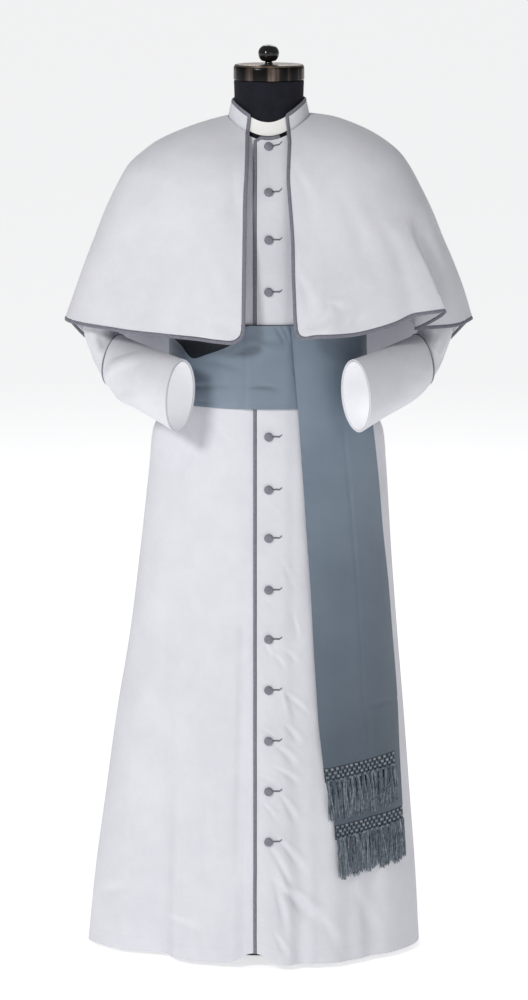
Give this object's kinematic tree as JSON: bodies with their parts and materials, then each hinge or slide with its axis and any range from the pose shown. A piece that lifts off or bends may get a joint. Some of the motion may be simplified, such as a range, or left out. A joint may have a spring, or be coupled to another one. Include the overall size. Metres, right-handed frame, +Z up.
{
  "type": "cassock with shoulder cape and sash on a dress form",
  "caption": "White ankle-length cassock with an open shoulder cape, grey piping, turned-back cuffs and a fringed slate sash, standing on a limbless dress form.",
  "frame": {"origin": "on the floor, at the underside of the form's base, below the neck", "axes": "+Z up, the front faces -Y, +X to the right as seen from the front"},
  "size_m": [0.7082, 0.4742, 1.5895],
  "materials": {
    "white_cloth": "matt white suiting with a soft lilac-grey cast",
    "grey_piping": "matt mid-grey binding and covered buttons",
    "slate_satin": "slate-blue satin with a low sheen",
    "slate_fringe": "slate-blue cord fringe",
    "dark_cloth": "near-black stretched cover",
    "dark_metal": "dark bronze gloss",
    "black_gloss": "black gloss",
    "black_paint": "satin black paint"
  },
  "bodies": {
    "root": {"form_base": "black_paint", "form_pole": "dark_metal", "form_torso": "dark_cloth", "form_neck_cap": "dark_metal", "form_knob": "black_gloss", "back": "white_cloth", "front_under": "white_cloth", "front_button": "white_cloth", "piping_placket": "grey_piping", "sleeve_left": "white_cloth", "sleeve_right": "white_cloth", "cuff_left": "white_cloth", "cuff_right": "white_cloth", "piping_cuff_left": "grey_piping", "piping_cuff_right": "grey_piping", "collar": "white_cloth", "piping_collar": "grey_piping", "collar_tab": "white_cloth", "cape": "white_cloth", "piping_cape": "grey_piping", "sash_band": "slate_satin", "sash_tail_rear": "slate_satin", "sash_tail_front": "slate_satin", "fringe_rear": "slate_fringe", "fringe_front": "slate_fringe", "button_01": "grey_piping", "button_02": "grey_piping", "button_03": "grey_piping", "button_04": "grey_piping", "button_05": "grey_piping", "button_06": "grey_piping", "button_07": "grey_piping", "button_08": "grey_piping", "button_09": "grey_piping", "button_10": "grey_piping", "button_11": "grey_piping", "button_12": "grey_piping", "button_13": "grey_piping"}
  },
  "joints": []
}
